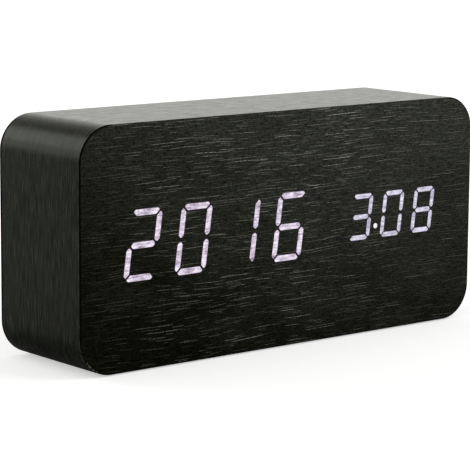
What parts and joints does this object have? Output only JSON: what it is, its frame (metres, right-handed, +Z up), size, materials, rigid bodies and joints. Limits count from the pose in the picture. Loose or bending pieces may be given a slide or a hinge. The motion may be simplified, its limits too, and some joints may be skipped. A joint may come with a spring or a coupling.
{
  "type": "wooden digital alarm clock",
  "caption": "Rounded black wood-grain block clock whose lit seven-segment figures shine through the front, with rear push buttons, power inlet and battery door.",
  "frame": {"origin": "on the table under the middle of the case, the feet stand at Z = 0", "axes": "+X to the right seen from the front, the display looks towards -Y, +Z up"},
  "size_m": [0.15, 0.041, 0.0704],
  "materials": {
    "fibre_board": "matt medium density fibre board",
    "wood_film": "black open-grain wood film, satin",
    "black_steel": "black screw",
    "rubber_pad": "matt rubber",
    "diffuser_white": "milky film",
    "black_plastic": "fine moulded texture",
    "circuit_board": "green solder mask",
    "lamp_white": "pinkish white light",
    "chip_black": "moulded chip",
    "zinc_steel": "zinc plated",
    "header_plastic": "natural plastic",
    "ribbon_grey": "grey ribbon",
    "nylon_white": "white nylon",
    "pin_brass": "bright",
    "can_metal": "satin can",
    "bead_epoxy": "epoxy bead",
    "lead_red": "PVC lead",
    "lead_black": "PVC lead",
    "cell_sleeve": "printed sleeve over a metal can, bare of marks",
    "button_black": "satin cap",
    "switch_body": "moulded",
    "plunger_brown": "moulded"
  },
  "bodies": {
    "case": {"case_body": "fibre_board", "perimeter_wrap": "wood_film", "front_veneer": "wood_film", "rear_panel": "fibre_board", "rear_veneer": "wood_film", "rear_panel_screws": "black_steel", "foot_pads": "rubber_pad", "diffuser_sheet": "diffuser_white", "segment_mask": "black_plastic", "display_board": "circuit_board", "segment_lamps": "lamp_white", "display_drivers": "chip_black", "display_screws": "zinc_steel", "display_header": "header_plastic", "control_header": "header_plastic", "ribbon_cable": "ribbon_grey", "control_board": "circuit_board", "board_spacers": "nylon_white", "control_screws": "zinc_steel", "dc_socket": "black_plastic", "dc_socket_pin": "pin_brass", "processor": "chip_black", "microphone": "can_metal", "capacitor": "can_metal", "buzzer": "black_plastic", "clock_crystal": "can_metal", "temperature_sensor": "bead_epoxy", "battery_header": "header_plastic", "battery_tray": "black_plastic", "tray_screws": "zinc_steel", "contact_plates": "zinc_steel", "contact_springs": "zinc_steel", "battery_lead_red": "lead_red", "battery_lead_black": "lead_black", "aaa_cell_1": "cell_sleeve", "aaa_cell_2": "cell_sleeve", "aaa_cell_3": "cell_sleeve", "aaa_cell_4": "cell_sleeve", "set_switch": "switch_body", "up_switch": "switch_body", "down_switch": "switch_body"},
    "set_button": {"set_button": "button_black", "set_plunger": "plunger_brown"},
    "up_button": {"up_button": "button_black", "up_plunger": "plunger_brown"},
    "down_button": {"down_button": "button_black", "down_plunger": "plunger_brown"},
    "battery_door": {"battery_door": "black_plastic"}
  },
  "joints": [
    {"name": "set_button_press", "type": "slide", "parent": "case", "child": "set_button", "axis": [0, -1, 0], "range_m": [0, 0.0005], "stiffness_N_per_m": 800, "springref_m": -0.001},
    {"name": "up_button_press", "type": "slide", "parent": "case", "child": "up_button", "axis": [0, -1, 0], "range_m": [0, 0.0005], "stiffness_N_per_m": 800, "springref_m": -0.001},
    {"name": "down_button_press", "type": "slide", "parent": "case", "child": "down_button", "axis": [0, -1, 0], "range_m": [0, 0.0005], "stiffness_N_per_m": 800, "springref_m": -0.001},
    {"name": "battery_door_hinge", "type": "hinge", "parent": "case", "child": "battery_door", "pos_m": [-0.05, 0, 0.0012], "axis": [0, 1, 0], "range_deg": [0, 30]}
  ]
}
